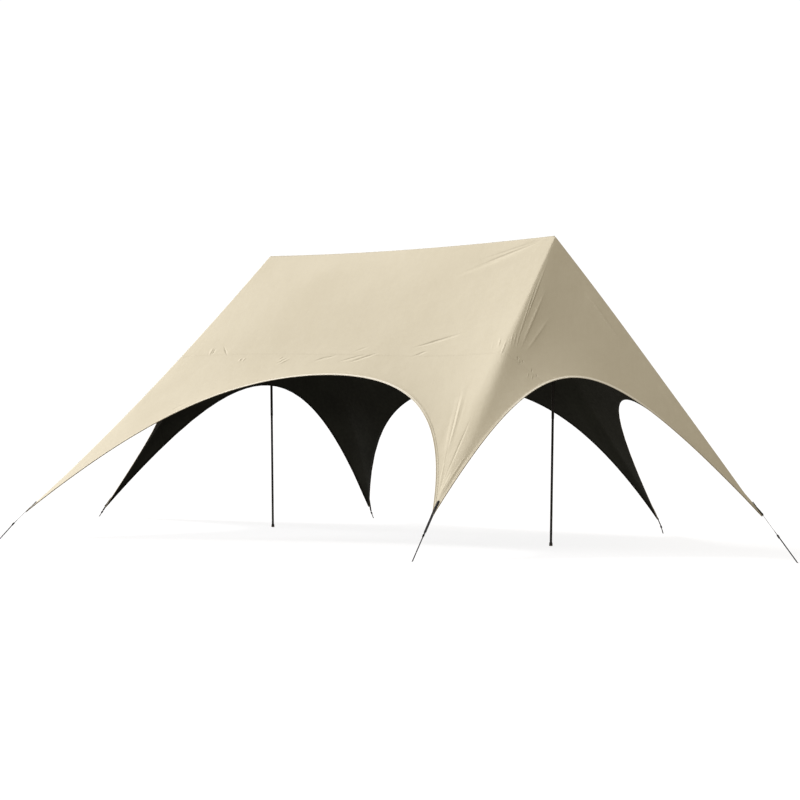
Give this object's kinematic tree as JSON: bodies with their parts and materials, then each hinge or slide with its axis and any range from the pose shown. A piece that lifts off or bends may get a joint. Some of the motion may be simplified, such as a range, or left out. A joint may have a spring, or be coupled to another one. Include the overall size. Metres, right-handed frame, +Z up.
{
  "type": "twin-peak canopy tent",
  "caption": "Peaked tensioned fabric canopy on slim inner poles, with arched open sides and tapering legs tied down to the ground by straps and ropes.",
  "frame": {"origin": "on the ground, at the middle of the plan's bounding box", "axes": "+X along the ridge towards the right pole, +Y towards the back, +Z up"},
  "size_m": [8.5695, 4.6037, 2.7999],
  "materials": {
    "upper_fabric": "matte woven beige outside, black coating inside",
    "lower_fabric": "matte woven beige outside, black coating inside",
    "hem_tape": "stitched woven tape",
    "strap_webbing": "black webbing",
    "guy_rope": "black braided rope",
    "pole_paint": "satin black powder coat",
    "pole_rubber": "matte black rubber"
  },
  "bodies": {
    "root": {"panel_front_upper": "upper_fabric", "panel_front_lower": "lower_fabric", "hem_front": "hem_tape", "panel_right_front_upper": "upper_fabric", "panel_right_front_lower": "lower_fabric", "hem_right_front": "hem_tape", "panel_right_back_upper": "upper_fabric", "panel_right_back_lower": "lower_fabric", "hem_right_back": "hem_tape", "panel_back_upper": "upper_fabric", "panel_back_lower": "lower_fabric", "hem_back": "hem_tape", "panel_left_back_upper": "upper_fabric", "panel_left_back_lower": "lower_fabric", "hem_left_back": "hem_tape", "panel_left_front_upper": "upper_fabric", "panel_left_front_lower": "lower_fabric", "hem_left_front": "hem_tape", "strap_front_left": "strap_webbing", "rope_front_left": "guy_rope", "strap_front_right": "strap_webbing", "rope_front_right": "guy_rope", "strap_right_end": "strap_webbing", "rope_right_end": "guy_rope", "strap_back_right": "strap_webbing", "rope_back_right": "guy_rope", "strap_back_left": "strap_webbing", "rope_back_left": "guy_rope", "strap_left_end": "strap_webbing", "rope_left_end": "guy_rope", "pole_left_foot": "pole_rubber", "pole_left_lower_tube": "pole_paint", "pole_left_upper_tube": "pole_paint", "pole_left_cap": "pole_rubber", "pole_right_foot": "pole_rubber", "pole_right_lower_tube": "pole_paint", "pole_right_upper_tube": "pole_paint", "pole_right_cap": "pole_rubber"}
  },
  "joints": []
}
